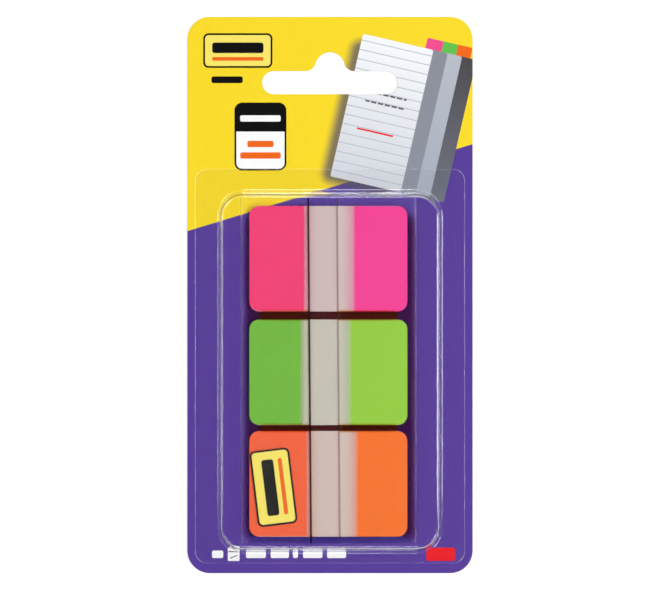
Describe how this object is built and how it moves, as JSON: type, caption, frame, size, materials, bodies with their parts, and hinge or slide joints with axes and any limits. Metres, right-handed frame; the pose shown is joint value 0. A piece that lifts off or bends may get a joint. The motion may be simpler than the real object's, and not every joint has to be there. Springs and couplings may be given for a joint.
{
  "type": "carded pack of sticky index tabs",
  "caption": "Hanging card pack of sticky film index tabs: printed card with a hang slot, clear blister, folded film dispenser and stacks of pink, green and orange tabs.",
  "frame": {"origin": "middle of the card's outline, on its back face", "axes": "+X across the card to the right seen from the front, +Y up the card towards the hang slot, +Z out of the card's front; the pack lies on its back"},
  "size_m": [0.0694, 0.1352, 0.006],
  "materials": {
    "printed_card": "white-backed folding boxboard, offset printed in yellow and purple, satin varnish",
    "blister_film": "clear thermoformed PET sheet, glossy (a clear plastic, not glass)",
    "sleeve_film": "clear folded polypropylene film, glossy (a clear plastic, not glass)",
    "pink_tab_film": "matte polyester tab film, one end printed fluorescent pink, the rest milky and clear",
    "green_tab_film": "matte polyester tab film, one end printed bright green, the rest milky and clear",
    "orange_tab_film": "matte polyester tab film, one end printed fluorescent orange, the rest milky and clear"
  },
  "bodies": {
    "root": {"card": "printed_card", "blister": "blister_film", "dispenser_sleeve": "sleeve_film", "pink_tab_01": "pink_tab_film", "pink_tab_02": "pink_tab_film", "pink_tab_03": "pink_tab_film", "pink_tab_04": "pink_tab_film", "pink_tab_05": "pink_tab_film", "pink_tab_06": "pink_tab_film", "pink_tab_07": "pink_tab_film", "pink_tab_08": "pink_tab_film", "pink_tab_09": "pink_tab_film", "pink_tab_10": "pink_tab_film", "pink_tab_11": "pink_tab_film", "pink_tab_12": "pink_tab_film", "green_tab_01": "green_tab_film", "green_tab_02": "green_tab_film", "green_tab_03": "green_tab_film", "green_tab_04": "green_tab_film", "green_tab_05": "green_tab_film", "green_tab_06": "green_tab_film", "green_tab_07": "green_tab_film", "green_tab_08": "green_tab_film", "green_tab_09": "green_tab_film", "green_tab_10": "green_tab_film", "green_tab_11": "green_tab_film", "green_tab_12": "green_tab_film", "orange_tab_01": "orange_tab_film", "orange_tab_02": "orange_tab_film", "orange_tab_03": "orange_tab_film", "orange_tab_04": "orange_tab_film", "orange_tab_05": "orange_tab_film", "orange_tab_06": "orange_tab_film", "orange_tab_07": "orange_tab_film", "orange_tab_08": "orange_tab_film", "orange_tab_09": "orange_tab_film", "orange_tab_10": "orange_tab_film", "orange_tab_11": "orange_tab_film", "orange_tab_12": "orange_tab_film"}
  },
  "joints": []
}
